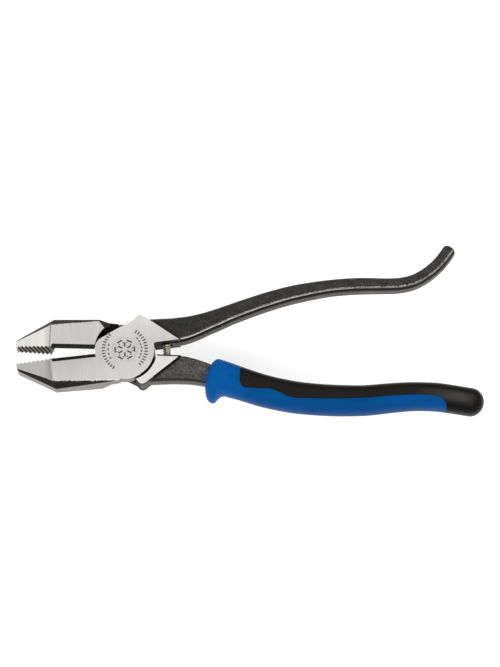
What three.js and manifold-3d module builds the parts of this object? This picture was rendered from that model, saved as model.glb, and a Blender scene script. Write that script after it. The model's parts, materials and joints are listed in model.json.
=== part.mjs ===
// Ironworker's lineman pliers: two drop-forged halves in a hot-riveted lap joint, a coil spring that opens
// them, one bare handle with a hooked end and one handle in a two-material grip.
//
// Row frame, in millimetres: the origin is on the pivot axis at the back face, +Z runs along the pivot out of
// the front face, -X points to the jaws' nose and +X to the handles. At rest the tool stands half open.
//
// Both halves come from one pair of dies, so each is drawn once in the "die frame": the tool just past closed, the
// jaw on the -Y side, the boss plate in front and the handle on the +Y side. The rear half, with everything on it,
// is that same shape turned half a turn about the X axis.

import * as THREE from "three";
import { ConvexGeometry } from "three/addons/geometries/ConvexGeometry.js";
import { mergeVertices } from "three/addons/utils/BufferGeometryUtils.js";
import Module from "manifold-3d";

const wasm = await Module();
wasm.setup();

// ---------------------------------------------------------------- driving dimensions

const THICKNESS = 15.9; // the head, face to face
const MIDDLE = THICKNESS / 2;
const CLOSED_LEAN = 0.68; // degrees by which each half, when closed, is still short of the die frame
const FREE_OPENING = 8; // degrees from closed to where the spring leaves the tool
const REST_OPENING = THREE.MathUtils.degToRad(FREE_OPENING + 2 * CLOSED_LEAN); // between the die frames
const GAP = 0.3; // between pieces that touch in the real tool

const BOSS_R = 15.2; // round boss over the pivot
const JAW_POCKET_R = BOSS_R + GAP; // the jaw's end hugs the other half's boss
const HANDLE_POCKET_R = 16.1; // the handle's root stands a little further off

const NOSE_X = -55.7; // front end of the jaws
const NOSE_LINE_X = -38.4; // where the faces start to thin towards the nose
const NOSE_DROP = 2.3; // how much thinner each face is at the nose
const NOSE_WIDTH = 2.4;
const FACE_WIDTH = 11.3; // polished face, parting plane to edge, at the nose line
const JAW_WIDTH = 15.25; // parting plane to the ground side
const SIDE_BEVEL = 4; // depth of the forged bevel between face and side
const TEETH_GAP = 0.15; // each row of crests off the parting plane when closed
const KNIFE_GAP = 0.1; // each cutting edge off the parting plane when closed

const KNIFE_START_X = -37.2;
const KNIFE_FACE = 1.8; // width of the bevel seen from the front
const KNIFE_DEPTH = 1.5; // depth of the cutting edge below the front face
const TOOTH_PITCH = 3;
const TOOTH_DEPTH = 0.95;

const HANDLE_INNER_Y = 1.7; // inner wall of the handle's root off the centre plane
const HANDLE_THICK = 11.9;

const RIVET_R = 4.6;
const RIVET_HEAD_R = 6.3; // countersunk heads, ground flush

const SPRING_X = 21.7; // pocket axis, behind the pivot
const SPRING_POCKET_R = 2.9;
const SPRING_POCKET_DEPTH = 6.4;
const SPRING_WIRE_R = 0.4;
const SPRING_COIL_R = 1.6; // to the middle of the wire
const SPRING_TURNS = 17;

const TANG_END_X = 166; // where the gripped handle's steel stops, inside the grip
const CORE_WALL = 1.6; // hard plastic round the steel, under the soft cover

// ---------------------------------------------------------------- solids

// A closed geometry as a manifold-3d solid.
function solid(geometry) {
  const bare = new THREE.BufferGeometry();
  bare.setAttribute("position", geometry.getAttribute("position").clone());
  if (geometry.index) bare.setIndex(geometry.index.clone());
  const merged = mergeVertices(bare, 1e-4);
  return new wasm.Manifold(
    new wasm.Mesh({
      numProp: 3,
      vertProperties: new Float32Array(merged.attributes.position.array),
      triVerts: new Uint32Array(merged.index.array),
    }),
  );
}

function geometryOf(made) {
  const mesh = made.getMesh();
  const geometry = new THREE.BufferGeometry();
  geometry.setAttribute("position", new THREE.BufferAttribute(new Float32Array(mesh.vertProperties), 3));
  geometry.setIndex(new THREE.BufferAttribute(new Uint32Array(mesh.triVerts), 1));
  geometry.computeVertexNormals();
  return geometry;
}

const joined = (first, ...rest) => rest.reduce((sum, next) => sum.add(next), first);
const cut = (from, ...tools) => tools.reduce((left, tool) => left.subtract(tool), from);

// An outline in the XY plane, raised from z0 to z1.
function prism(shape, z0, z1, curveSegments = 24) {
  const geometry = new THREE.ExtrudeGeometry(shape, { depth: z1 - z0, bevelEnabled: false, curveSegments });
  return solid(geometry.translate(0, 0, z0));
}

const polygon = (points) => new THREE.Shape(points.map(([x, y]) => new THREE.Vector2(x, y)));

// A cylinder or cone about the pivot axis.
function turned(radiusBelow, radiusAbove, z0, z1) {
  const geometry = new THREE.CylinderGeometry(radiusAbove, radiusBelow, z1 - z0, 72);
  return solid(geometry.rotateX(Math.PI / 2).translate(0, 0, (z0 + z1) / 2));
}

// The convex body round a list of corners.
const hull = (corners) => solid(new ConvexGeometry(corners.map((c) => new THREE.Vector3(...c))));

// ---------------------------------------------------------------- lofts along a handle

// Linear reading of a table of [x, value] rows.
function tableAt(rows, x) {
  const next = rows.findIndex((row) => row[0] >= x);
  if (next === 0) return rows[0][1];
  if (next < 0) return rows[rows.length - 1][1];
  const [x0, v0] = rows[next - 1];
  const [x1, v1] = rows[next];
  return v0 + ((v1 - v0) * (x - x0)) / (x1 - x0);
}

// A ring of points round a station: a superellipse, square-cornered where its power is high.
function ring({ x, y, turn, width, thick, power }, count) {
  return Array.from({ length: count }, (_, i) => {
    const a = ((i + 0.5) / count) * 2 * Math.PI;
    const c = Math.cos(a);
    const s = Math.sin(a);
    const across = (width / 2) * Math.sign(c) * Math.abs(c) ** (2 / power);
    const up = (thick / 2) * Math.sign(s) * Math.abs(s) ** (2 / power);
    return [x - across * Math.sin(turn), y + across * Math.cos(turn), MIDDLE + up];
  });
}

// A closed body through rings of points, with a flat fan over each end.
function loft(stations, count = 22) {
  const points = stations.flatMap((station) => ring(station, count));
  const first = stations[0];
  const last = stations[stations.length - 1];
  const start = points.push([first.x, first.y, MIDDLE]) - 1;
  const end = points.push([last.x, last.y, MIDDLE]) - 1;
  const faces = [];
  for (let i = 0; i < count; i++) {
    const j = (i + 1) % count;
    for (let k = 0; k < stations.length - 1; k++) {
      const a = k * count;
      const b = a + count;
      faces.push(a + i, b + i, a + j, a + j, b + i, b + j);
    }
    const z = (stations.length - 1) * count;
    faces.push(start, i, j, end, z + j, z + i);
  }
  const geometry = new THREE.BufferGeometry();
  geometry.setAttribute("position", new THREE.BufferAttribute(new Float32Array(points.flat()), 3));
  geometry.setIndex(faces);
  const made = solid(geometry);
  if (made.volume() > 0) return made;
  geometry.setIndex(faces.map((_, i) => faces[i - (i % 3) + 2 - (i % 3)]));
  return solid(geometry);
}

// Stations along a smooth centre line, from share u0 to u1 of it.
function stationsAlong(centre, widths, thicks, power, u0, u1, steps) {
  return Array.from({ length: steps + 1 }, (_, i) => {
    const u = u0 + ((u1 - u0) * i) / steps;
    const p = centre.getPoint(u);
    const t = centre.getTangent(u);
    return {
      x: p.x,
      y: p.y,
      turn: Math.atan2(t.y, t.x),
      width: tableAt(widths, p.x),
      thick: tableAt(thicks, p.x),
      power,
    };
  });
}

// The same stations with their section grown on every side.
const grown = (stations, by) =>
  stations.map((s) => ({ ...s, width: s.width + 2 * by, thick: s.thick + 2 * by }));

const curve = (points) => new THREE.SplineCurve(points.map(([x, y]) => new THREE.Vector2(x, y)));

// ---------------------------------------------------------------- the jaw

// Face and back are alike, so each corner is given at its depth below both faces.
const bothFaces = (corners) =>
  corners.flatMap(([x, y, depth]) => [
    [x, y, depth],
    [x, y, THICKNESS - depth],
  ]);

// The parting plane passes through the pivot and leans from the die frame.
const partingY = (x) => -x * Math.tan(THREE.MathUtils.degToRad(CLOSED_LEAN));

function jawBlock() {
  const nose = hull(
    bothFaces([
      [NOSE_X + 0.5, partingY(NOSE_X) - TEETH_GAP, NOSE_DROP],
      [NOSE_X, partingY(NOSE_X) - TEETH_GAP - 0.8, NOSE_DROP],
      [NOSE_X, -NOSE_WIDTH, NOSE_DROP],
      [NOSE_X + 0.8, -NOSE_WIDTH - 1.4, NOSE_DROP + 1.2],
      [NOSE_LINE_X, partingY(NOSE_LINE_X) - TEETH_GAP, 0],
      [NOSE_LINE_X, -FACE_WIDTH, 0],
      [NOSE_LINE_X + 1.4, -JAW_WIDTH, SIDE_BEVEL],
      [NOSE_LINE_X + 2, partingY(NOSE_LINE_X + 2) - TEETH_GAP, 0],
    ]),
  );
  const body = hull(
    bothFaces([
      [NOSE_LINE_X, partingY(NOSE_LINE_X) - KNIFE_GAP, 0],
      [NOSE_LINE_X, -FACE_WIDTH, 0],
      [NOSE_LINE_X + 1.4, -JAW_WIDTH, SIDE_BEVEL],
      [-9, -JAW_WIDTH - 0.3, 1],
      [-4, -JAW_WIDTH - 0.05, 0],
      [-4, -KNIFE_GAP, 0],
    ]),
  );
  return joined(nose, body);
}

// One set of V grooves across the gripping face, leaning by an angle from the thickness direction.
function grooves(lean, pitch, depth) {
  const v = polygon([
    [-pitch / 2, 1],
    [-pitch / 2, 0],
    [0, -depth],
    [pitch / 2, 0],
    [pitch / 2, 1],
  ]);
  const reach = THICKNESS * 2;
  const gripLength = NOSE_LINE_X - NOSE_X;
  const spread = gripLength + Math.abs(Math.tan(lean)) * THICKNESS;
  const count = Math.ceil(spread / (pitch / Math.cos(lean))) + 1;
  const made = Array.from({ length: count }, (_, i) => {
    const geometry = new THREE.ExtrudeGeometry(v, { depth: reach, bevelEnabled: false });
    geometry.translate(0, 0, -reach / 2).rotateY(lean);
    const x = (NOSE_X + NOSE_LINE_X) / 2 + ((i - (count - 1) / 2) * pitch) / Math.cos(lean);
    return solid(geometry.translate(x, -TEETH_GAP, MIDDLE));
  });
  const zone = polygon([
    [NOSE_X - 1, -3],
    [NOSE_LINE_X - 0.4, -3],
    [NOSE_LINE_X - 0.4, 2],
    [NOSE_X - 1, 2],
  ]);
  return joined(...made)
    .intersect(prism(zone, -1, THICKNESS + 1))
    .rotate([0, 0, -CLOSED_LEAN]);
}

// What is ground away to leave the cutting edge: a narrow bevel in front and a wider relief behind it. It is
// ground after forging, so that both edges meet at one height; `behind` is for the half that is turned over.
function knifeRelief(behind) {
  const edgeZ = THICKNESS - KNIFE_DEPTH;
  const section = [
    [1, THICKNESS + 1],
    [-KNIFE_FACE, THICKNESS + 1],
    [-KNIFE_FACE, THICKNESS],
    [-KNIFE_GAP, edgeZ],
    [-2.6, edgeZ - 3.2],
    [-4.4, 0],
    [-4.4, -1],
    [1, -1],
  ];
  // The section is drawn in the YZ plane, so its outline runs along X.
  const geometry = new THREE.ExtrudeGeometry(polygon(section), { depth: 60, bevelEnabled: false });
  geometry.applyMatrix4(
    new THREE.Matrix4().makeBasis(
      new THREE.Vector3(0, 1, 0),
      new THREE.Vector3(0, 0, 1),
      new THREE.Vector3(1, 0, 0),
    ),
  );
  const made = solid(geometry.translate(KNIFE_START_X, 0, 0)).rotate([0, 0, -CLOSED_LEAN]);
  return behind ? made.mirror([0, 0, 1]).translate([0, 0, THICKNESS]) : made;
}

// ---------------------------------------------------------------- the boss and the handle's root

// The boss is not a whole disc: a straight edge runs from beside the jaws up to the handle's shoulder.
function boss() {
  const off = new THREE.Shape();
  off.moveTo(6, 15.07);
  off.lineTo(-11.8, 7.6);
  off.quadraticCurveTo(-13.7, 6.8, -14.7, 3.9);
  off.lineTo(-18, 3.9);
  off.lineTo(-18, 20);
  off.lineTo(6, 20);
  off.closePath();
  return cut(turned(BOSS_R, BOSS_R, 0, THICKNESS), prism(off, -1, THICKNESS + 1, 6));
}

function shoulder() {
  const shape = new THREE.Shape();
  shape.moveTo(0, 0);
  shape.lineTo(15, HANDLE_INNER_Y - 1.2);
  shape.quadraticCurveTo(15.1, HANDLE_INNER_Y, 16.4, HANDLE_INNER_Y);
  shape.lineTo(28.4, HANDLE_INNER_Y);
  shape.lineTo(11.4, 16.5);
  shape.quadraticCurveTo(9.3, 18.2, 7.6, 16.4);
  shape.quadraticCurveTo(6.8, 15.3, 5.6, 14.8);
  shape.lineTo(-11.8, 7.6);
  shape.closePath();
  return prism(shape, 0, THICKNESS, 8);
}

// The room that the other half's boss plate and jaw need behind this half's own plate.
function lapClearance() {
  const top = MIDDLE + GAP / 2;
  const handleSide = prism(
    polygon([
      [0, -30],
      [30, -30],
      [30, 30],
      [0, 30],
    ]),
    -1,
    top,
  );
  const behindShoulder = prism(
    polygon([
      [0, 0],
      [5.6, 15.3],
      [8.4, 18],
      [9.6, 19.2],
      [-20, 19.2],
      [-20, 0],
    ]),
    -1,
    top,
  );
  // The jaw's end slopes back from the face, so that the other half's shoulder clears it when fully open.
  const along = new THREE.Vector2(3, 3.5).normalize();
  const away = new THREE.Vector2(along.y, -along.x);
  const slopeAt = (z) => (4.5 * z) / MIDDLE;
  const corners = [-1, top].flatMap((z) =>
    [-6, 9].flatMap((s) =>
      [0, 25].map((w) => {
        const p = new THREE.Vector2(-13.9, -14.4).addScaledVector(along, s).addScaledVector(away, slopeAt(z) + w);
        return [p.x, p.y, z];
      }),
    ),
  );
  return joined(
    turned(JAW_POCKET_R, JAW_POCKET_R, -1, top),
    turned(HANDLE_POCKET_R, HANDLE_POCKET_R, -1, top).intersect(handleSide),
    behindShoulder,
    hull(corners),
  );
}

function rivetHole() {
  const r = RIVET_R + GAP;
  const sink = RIVET_HEAD_R - RIVET_R;
  return joined(
    turned(r, r, -1, THICKNESS + 1),
    turned(r, r + sink + 1, THICKNESS - sink, THICKNESS + 1),
  );
}

function springPocket() {
  const length = SPRING_POCKET_DEPTH + 2;
  const geometry = new THREE.CylinderGeometry(SPRING_POCKET_R, SPRING_POCKET_R, length, 32);
  return solid(geometry.translate(SPRING_X, HANDLE_INNER_Y - 2 + length / 2, MIDDLE));
}

// ---------------------------------------------------------------- the steel handle

// Both handles follow this line as far as the hook.
const HANDLE_LINE = [
  [15, 8.7],
  [30, 7.9],
  [44, 10.4],
  [56, 13.5],
  [68, 16.3],
  [80, 18.65],
  [92, 20.2],
  [108, 20.95],
  [123, 20.2],
  [138, 18.35],
];
const HOOK_LINE = [
  [145, 18],
  [151, 18.8],
  [156.7, 20.95],
  [162.1, 24.15],
  [166.9, 28.1],
  [170.9, 32.4],
];
const TANG_LINE = [
  [150, 17.2],
  [TANG_END_X, 17.6],
];
const STEEL_WIDTH = [
  [15, 13.7],
  [30, 13.5],
  [44, 10.7],
  [56, 9.5],
  [68, 9.1],
  [92, 8.5],
  [108, 7.7],
  [123, 7.6],
  [138, 7.1],
  [150, 7.1],
  [160, 7],
  [171, 7],
];
const STEEL_THICK = [
  [15, HANDLE_THICK],
  [90, HANDLE_THICK],
  [171, 10.4],
];
const STEEL_POWER = 4;

// The last few stations close in a quarter of an ellipse, for a rounded end.
function rounded(stations, length, steps = 4) {
  const last = stations[stations.length - 1];
  const ends = Array.from({ length: steps }, (_, i) => {
    const a = (((i + 1) / steps) * Math.PI * 0.46);
    const ahead = length * Math.sin(a);
    return {
      ...last,
      x: last.x + ahead * Math.cos(last.turn),
      y: last.y + ahead * Math.sin(last.turn),
      width: last.width * Math.cos(a),
      thick: last.thick * Math.cos(a),
    };
  });
  return [...stations, ...ends];
}

const bareHandle = () =>
  rounded(
    stationsAlong(curve([...HANDLE_LINE, ...HOOK_LINE]), STEEL_WIDTH, STEEL_THICK, STEEL_POWER, 0, 1, 40),
    3,
  );

const tang = () =>
  rounded(
    stationsAlong(curve([...HANDLE_LINE, ...TANG_LINE]), STEEL_WIDTH, STEEL_THICK, STEEL_POWER, 0, 1, 32),
    1.6,
  );

function forging(handle, turnedOver) {
  const jaw = cut(
    jawBlock(),
    grooves(THREE.MathUtils.degToRad(8), TOOTH_PITCH, TOOTH_DEPTH),
    grooves(THREE.MathUtils.degToRad(-48), TOOTH_PITCH, TOOTH_DEPTH * 0.65),
    knifeRelief(turnedOver),
  );
  const half = joined(jaw, boss(), shoulder(), loft(handle));
  return cut(half, lapClearance(), rivetHole(), springPocket());
}

// ---------------------------------------------------------------- the grip

const GRIP_LINE = curve([
  [53.5, 12.1],
  [60.7, 14.1],
  [72, 17.2],
  [84.8, 19.5],
  [97, 20.5],
  [110, 20.7],
  [123, 20.1],
  [135, 18.5],
  [146.8, 17.2],
  [158.5, 17],
  [167, 17.8],
  [176.5, 19],
]);
const GRIP_WIDTH = [
  [53.5, 17],
  [60.7, 16.3],
  [84.8, 16.1],
  [97, 15.8],
  [110, 15.6],
  [135, 14.9],
  [150, 14.3],
  [176.5, 14.2],
];
const GRIP_THICK = [
  [53.5, 19.4],
  [62, 18.2],
  [110, 18.8],
  [150, 18],
  [176.5, 17.4],
];
const GRIP_POWER = 2.4;

// The collar that keeps the hand off the joint: [x, inner edge, outer edge, thickness].
const COLLAR = [
  [41.6, 11.4, 17.4, 13.4],
  [42.2, 8.8, 20.2, 16.6],
  [43.4, 5, 22.6, 19.6],
  [45, 2.6, 23.9, 21.4],
  [46.8, 1.7, 24.1, 22],
  [48.6, 2, 22.8, 21.4],
  [50.4, 2.6, 21.2, 20.4],
];
const END_CAP_LENGTH = 6.9;

function gripStations() {
  const collar = COLLAR.map(([x, inner, outer, thick], i) => ({
    x,
    y: (inner + outer) / 2,
    turn: Math.max(0.06, 0.05 * (i - 3)),
    width: outer - inner,
    thick,
    power: GRIP_POWER,
  }));
  const body = stationsAlong(GRIP_LINE, GRIP_WIDTH, GRIP_THICK, GRIP_POWER, 0, 1, 34);
  return rounded([...collar, ...body], END_CAP_LENGTH, 7);
}

// The parting line between the hard core's bare side, towards the other handle, and the soft cover.
function coreSide(offset) {
  const shape = new THREE.Shape();
  shape.moveTo(59 - offset, -10);
  shape.lineTo(59 - offset, 14.4 + offset);
  shape.splineThru(
    [
      [59.9, 16.5],
      [61.9, 17.5],
      [67.6, 17.8],
      [74, 17.8],
      [78.8, 19.2],
      [83.4, 21.3],
      [88, 22.1],
      [96.4, 22],
      [110, 21.6],
      [123.5, 20.6],
      [135, 19.1],
      [146.7, 18.1],
      [155.5, 18],
      [161.2, 19.2],
      [163.9, 22.1],
      [164.6, 26],
    ].map(([x, y]) => new THREE.Vector2(x - offset * (x > 158 ? 1 : 0), y + offset * (x > 158 ? 0 : 1))),
  );
  shape.lineTo(164.6 - offset, 40);
  shape.lineTo(200, 40);
  shape.lineTo(200, -10);
  shape.closePath();
  return prism(shape, -10, THICKNESS + 10, 3);
}

function gripPieces() {
  const whole = loft(gripStations());
  const steel = tang();
  const room = loft(grown(steel, GAP), 16);
  const sleeveStations = steel.filter((s) => s.x > 47);
  const sleeve = loft(grown(sleeveStations, CORE_WALL), 16);
  const sleeveRoom = loft(grown(sleeveStations, CORE_WALL + GAP), 16);
  const core = cut(joined(whole.intersect(coreSide(0)), sleeve), room);
  const cover = cut(whole, coreSide(GAP), sleeveRoom, room);
  return { core, cover };
}

// ---------------------------------------------------------------- rivet and spring

function rivet() {
  const sink = RIVET_HEAD_R - RIVET_R;
  const profile = [
    [0, 0],
    [RIVET_HEAD_R, 0],
    [RIVET_R, sink],
    [RIVET_R, THICKNESS - sink],
    [RIVET_HEAD_R, THICKNESS],
    [0, THICKNESS],
  ];
  const geometry = new THREE.LatheGeometry(
    profile.map(([r, z]) => new THREE.Vector2(r, z)),
    72,
  );
  return solid(geometry.rotateX(Math.PI / 2));
}

// The spring's wire: it runs across the gap behind the pivot, from the bottom of one pocket to the other.
class CoilCurve extends THREE.Curve {
  constructor(length) {
    super();
    this.length = length;
  }
  getPoint(t, target = new THREE.Vector3()) {
    const a = t * SPRING_TURNS * 2 * Math.PI;
    return target.set(SPRING_COIL_R * Math.cos(a), (t - 0.5) * this.length, SPRING_COIL_R * Math.sin(a));
  }
}

function spring() {
  const half = REST_OPENING / 2;
  const wallY = HANDLE_INNER_Y * Math.cos(half) + SPRING_X * Math.sin(half);
  const length = 2 * (wallY + SPRING_POCKET_DEPTH - 1);
  const wire = new THREE.Shape().absarc(0, 0, SPRING_WIRE_R, 0, 2 * Math.PI, false);
  const geometry = new THREE.ExtrudeGeometry(wire, {
    steps: SPRING_TURNS * 10,
    curveSegments: 3,
    bevelEnabled: false,
    extrudePath: new CoilCurve(length),
  });
  const leanIn = (HANDLE_INNER_Y + SPRING_POCKET_DEPTH / 2) * Math.sin(half);
  return solid(geometry.translate(SPRING_X * Math.cos(half) - leanIn, 0, MIDDLE));
}

// ---------------------------------------------------------------- assembly

const FORGED = { color: 0x3d3b39, roughness: 0.5, metalness: 0.9 };
const RIVET_STEEL = { color: 0xcdc9c4, roughness: 0.3, metalness: 1 };
const SPRING_STEEL = { color: 0xa8a088, roughness: 0.35, metalness: 1 };
const HARD_BLACK = { color: 0x201f1f, roughness: 0.42, metalness: 0 };
const SOFT_BLUE = { color: 0x0b4c8a, roughness: 0.55, metalness: 0 };

function named(name, made, material) {
  const mesh = new THREE.Mesh(geometryOf(made), new THREE.MeshStandardMaterial(material));
  mesh.name = name;
  return mesh;
}

const frontHalf = new THREE.Group();
frontHalf.rotation.z = REST_OPENING / 2;
frontHalf.add(named("front_half_with_hook_handle", forging(bareHandle(), false), FORGED));

// Half a turn about the X axis at mid thickness puts the rear half's pieces where they belong.
const turnedOver = new THREE.Group();
turnedOver.rotation.x = Math.PI;
turnedOver.position.z = THICKNESS;
turnedOver.add(named("rear_half_with_grip_tang", forging(tang(), true), FORGED));
const { core, cover } = gripPieces();
turnedOver.add(named("grip_hard_core", core, HARD_BLACK));
turnedOver.add(named("grip_soft_cover", cover, SOFT_BLUE));

const rearHalf = new THREE.Group();
rearHalf.rotation.z = -REST_OPENING / 2;
rearHalf.add(turnedOver);

const pliers = new THREE.Group();
pliers.add(frontHalf, rearHalf);
pliers.add(named("pivot_rivet", rivet(), RIVET_STEEL));
pliers.add(named("return_spring", spring(), SPRING_STEEL));

export default pliers;
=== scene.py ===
"""Looks of the ironworker's lineman pliers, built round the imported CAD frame.

Lengths are in millimetres while a piece is being shaped, and in metres once it is placed. Both halves are
shaped in the "die frame": tool just past closed, pivot on Z, jaw on the -Y side, boss plate in front, handle
on the +Y side. The rear half is that shape turned half a turn about X at mid thickness, with a chamfer on its
shoulder and a slightly wider lap pocket. Each half is then turned open by its share of the rest opening,
which is where the CAD's nodes are.
"""

import json
import math

import bmesh
import bpy
from mathutils import Matrix, Vector


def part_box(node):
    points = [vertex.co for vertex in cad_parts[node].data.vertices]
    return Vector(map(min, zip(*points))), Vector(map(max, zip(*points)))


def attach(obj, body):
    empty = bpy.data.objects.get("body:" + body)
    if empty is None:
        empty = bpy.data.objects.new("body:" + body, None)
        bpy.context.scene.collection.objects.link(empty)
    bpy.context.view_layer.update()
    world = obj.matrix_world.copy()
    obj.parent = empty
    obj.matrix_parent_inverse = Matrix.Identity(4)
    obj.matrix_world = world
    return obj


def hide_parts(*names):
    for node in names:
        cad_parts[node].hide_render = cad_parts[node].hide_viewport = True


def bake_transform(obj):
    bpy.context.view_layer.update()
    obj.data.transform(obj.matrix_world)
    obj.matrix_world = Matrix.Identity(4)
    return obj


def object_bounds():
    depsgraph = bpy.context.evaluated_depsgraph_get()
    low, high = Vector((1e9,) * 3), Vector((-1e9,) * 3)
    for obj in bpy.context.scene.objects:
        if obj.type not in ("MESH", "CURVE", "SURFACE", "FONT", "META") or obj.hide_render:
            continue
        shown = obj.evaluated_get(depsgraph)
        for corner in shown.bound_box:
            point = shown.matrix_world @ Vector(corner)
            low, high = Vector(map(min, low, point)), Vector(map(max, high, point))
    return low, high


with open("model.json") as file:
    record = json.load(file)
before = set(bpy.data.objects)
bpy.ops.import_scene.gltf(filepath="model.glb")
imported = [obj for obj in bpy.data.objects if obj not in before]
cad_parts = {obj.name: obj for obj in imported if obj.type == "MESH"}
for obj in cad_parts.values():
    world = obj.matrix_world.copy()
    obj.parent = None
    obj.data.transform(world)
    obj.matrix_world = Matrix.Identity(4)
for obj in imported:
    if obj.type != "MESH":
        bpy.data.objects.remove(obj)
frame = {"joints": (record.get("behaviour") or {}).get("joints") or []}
cad_low, cad_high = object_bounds()

# ---------------------------------------------------------------- dimensions

MM = 0.001
rivet_low, rivet_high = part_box("pivot_rivet")
THICKNESS = (rivet_high.z - rivet_low.z) / MM
MIDDLE = THICKNESS / 2
CLOSED_LEAN = math.radians(0.68)  # how far each half, when closed, is short of the die frame
REST_OPENING = math.radians(-frame["joints"][0]["range_deg"][0]) + 2 * CLOSED_LEAN
spring_low, spring_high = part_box("return_spring")

BOSS_R = 15.2
JAW_POCKET_R = 15.5
HANDLE_POCKET_R = 16.4  # room on the gripped half for the hooked half's boss
TIGHT_POCKET_R = 15.65  # the same room on the hooked half
LAP_GAP = 0.16
EDGE_R = 0.22  # rounding of the ground edges
PAST = 1  # how far a cutter reaches past the steel

SHOULDER_END = (5.6, 14.8)  # where the shoulder's outline leaves the boss
SHOULDER_TIP = (7.6, 16.4)
SLANT_X = 28.4  # where the shoulder's slant meets the handle's inner side
SHOULDER_CHAMFER = 0.9  # on the gripped half only
STEP_WIDTH = 0.9  # of the slope between a ground face and the handle

NOSE_X = -55.7
NOSE_LINE_X = -38.4
NOSE_DROP = 2.3  # how much thinner the tip is, at each face
JAW_ROOT_X = -4
FACE_WIDTH = 11.3
JAW_WIDTH = 15.25
SIDE_BEVEL = 4
TEETH_GAP = 0.15
KNIFE_START_X = -37.2
KNIFE_FACE = 2.2
KNIFE_DEPTH = 1.5
KNIFE_RELIEF = 4.4  # width of the relief at the face behind the edge
TOOTH_DEPTH = 0.95
# each set of grooves: lean in degrees, pitch, half width, depth
KNURL = ((11, 2.1, 1.0, TOOTH_DEPTH), (-46, 2.9, 0.5, 0.4))
GROOVE_CLEAR = 0.03  # from the gripping face up to where a groove's slopes end
GROOVE_TOP = 0.6
NOSE_LINE_HALF = 0.34
NOSE_LINE_DEPTH = 0.16
NOSE_LINE_CLEAR = 0.015  # from the face out to the line's widest part
STAMP_DEPTH = 0.14
STAMP_WIDTH = 0.62

HANDLE_INNER_Y = 1.7
HANDLE_THICK = 11.9
RIVET_HEAD_R = 6.3
RIVET_HAIRLINE = 0.05  # between the rivet and its seat
SPRING_X = 21.7
SPRING_POCKET_R = 2.9
SPRING_POCKET_DEPTH = 6.4

# ---------------------------------------------------------------- shader helpers


class Shader:
    """A material's node tree, built a node at a time."""

    def __init__(self, name, **sockets):
        self.material = bpy.data.materials.new(name)
        self.material.use_nodes = True
        self.tree = self.material.node_tree
        self.surface = self.tree.nodes["Principled BSDF"]
        for socket, value in sockets.items():
            self.surface.inputs[socket.replace("_", " ")].default_value = value

    def node(self, kind, links=None, **settings):
        made = self.tree.nodes.new(kind)
        for key, value in settings.items():
            setattr(made, key, value)
        for socket, value in (links or {}).items():
            self.feed(made.inputs[socket], value)
        return made

    def feed(self, socket, value):
        if isinstance(value, bpy.types.NodeSocket):
            self.tree.links.new(value, socket)
        else:
            socket.default_value = value

    def place(self, scale=(1, 1, 1), turn=0.0):
        """Object coordinates in millimetres, turned about Z and then stretched."""
        here = self.node("ShaderNodeTexCoord").outputs["Object"]
        turned = self.node("ShaderNodeMapping", {"Vector": here, "Rotation": (0, 0, turn)})
        return self.node(
            "ShaderNodeMapping",
            {"Vector": turned.outputs[0], "Scale": [s / MM for s in scale]},
        ).outputs[0]

    def noise(self, where, size, detail=4.0, rough=0.55):
        """Noise whose features are about `size` millimetres across."""
        return self.node(
            "ShaderNodeTexNoise",
            {"Vector": where, "Scale": 1 / size, "Detail": detail, "Roughness": rough},
        ).outputs["Fac"]

    def ramp(self, value, low, high, to_low=0.0, to_high=1.0):
        return self.node(
            "ShaderNodeMapRange",
            {"Value": value, "From Min": low, "From Max": high, "To Min": to_low, "To Max": to_high},
        ).outputs[0]

    def math(self, operation, a, b=0.0):
        made = self.node("ShaderNodeMath", operation=operation)
        self.feed(made.inputs[0], a)
        self.feed(made.inputs[1], b)
        return made.outputs[0]

    def mix(self, share, a, b):
        made = self.node("ShaderNodeMix", data_type="RGBA")
        self.feed(made.inputs[0], share)
        self.feed(made.inputs[6], a)
        self.feed(made.inputs[7], b)
        return made.outputs[2]

    def drift(self, colour, drifts):
        """The colour scaled by a gain that changes slowly over the piece.

        Each drift is (axis, start, end, share): the gain grows by the share between two places, in mm.
        """
        here = self.node("ShaderNodeTexCoord").outputs["Object"]
        split = self.node("ShaderNodeSeparateXYZ", {0: here})
        gain = 1.0
        for axis, start, end, share in drifts:
            gain = self.math("ADD", self.ramp(split.outputs[axis], start * MM, end * MM, 0.0, share), gain)
        gained = self.node("ShaderNodeVectorMath", operation="SCALE")
        self.feed(gained.inputs[0], colour)
        self.feed(gained.inputs["Scale"], gain)
        return gained.outputs[0]

    def bump(self, height, depth, normal=None):
        """Bump whose height runs over `depth` millimetres."""
        links = {"Height": height, "Distance": depth * MM, "Strength": 1.0}
        if normal:
            links["Normal"] = normal
        return self.node("ShaderNodeBump", links).outputs[0]

    def set(self, **values):
        for socket, value in values.items():
            self.feed(self.surface.inputs[socket.replace("_", " ")], value)

    def direction_z(self):
        """How far the surface faces up or down, 0 to 1, in the piece's own frame."""
        normal = self.node("ShaderNodeTexCoord").outputs["Normal"]
        z = self.node("ShaderNodeSeparateXYZ", {0: normal}).outputs[2]
        return self.math("ABSOLUTE", z)

    def height_off_middle(self):
        """Distance from mid thickness, in millimetres."""
        here = self.node("ShaderNodeTexCoord").outputs["Object"]
        z = self.node("ShaderNodeSeparateXYZ", {0: here}).outputs[2]
        off = self.math("SUBTRACT", z, MIDDLE * MM)
        return self.math("MULTIPLY", self.math("ABSOLUTE", off), 1 / MM)


def grey(value, warmth=0.0):
    return (value * (1 + warmth), value, value * (1 - warmth), 1)


def warm(value):
    """The slightly yellow grey of bright steel."""
    return (value * 1.012, value * 0.995, value * 0.965, 1)


# ---------------------------------------------------------------- materials


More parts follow.
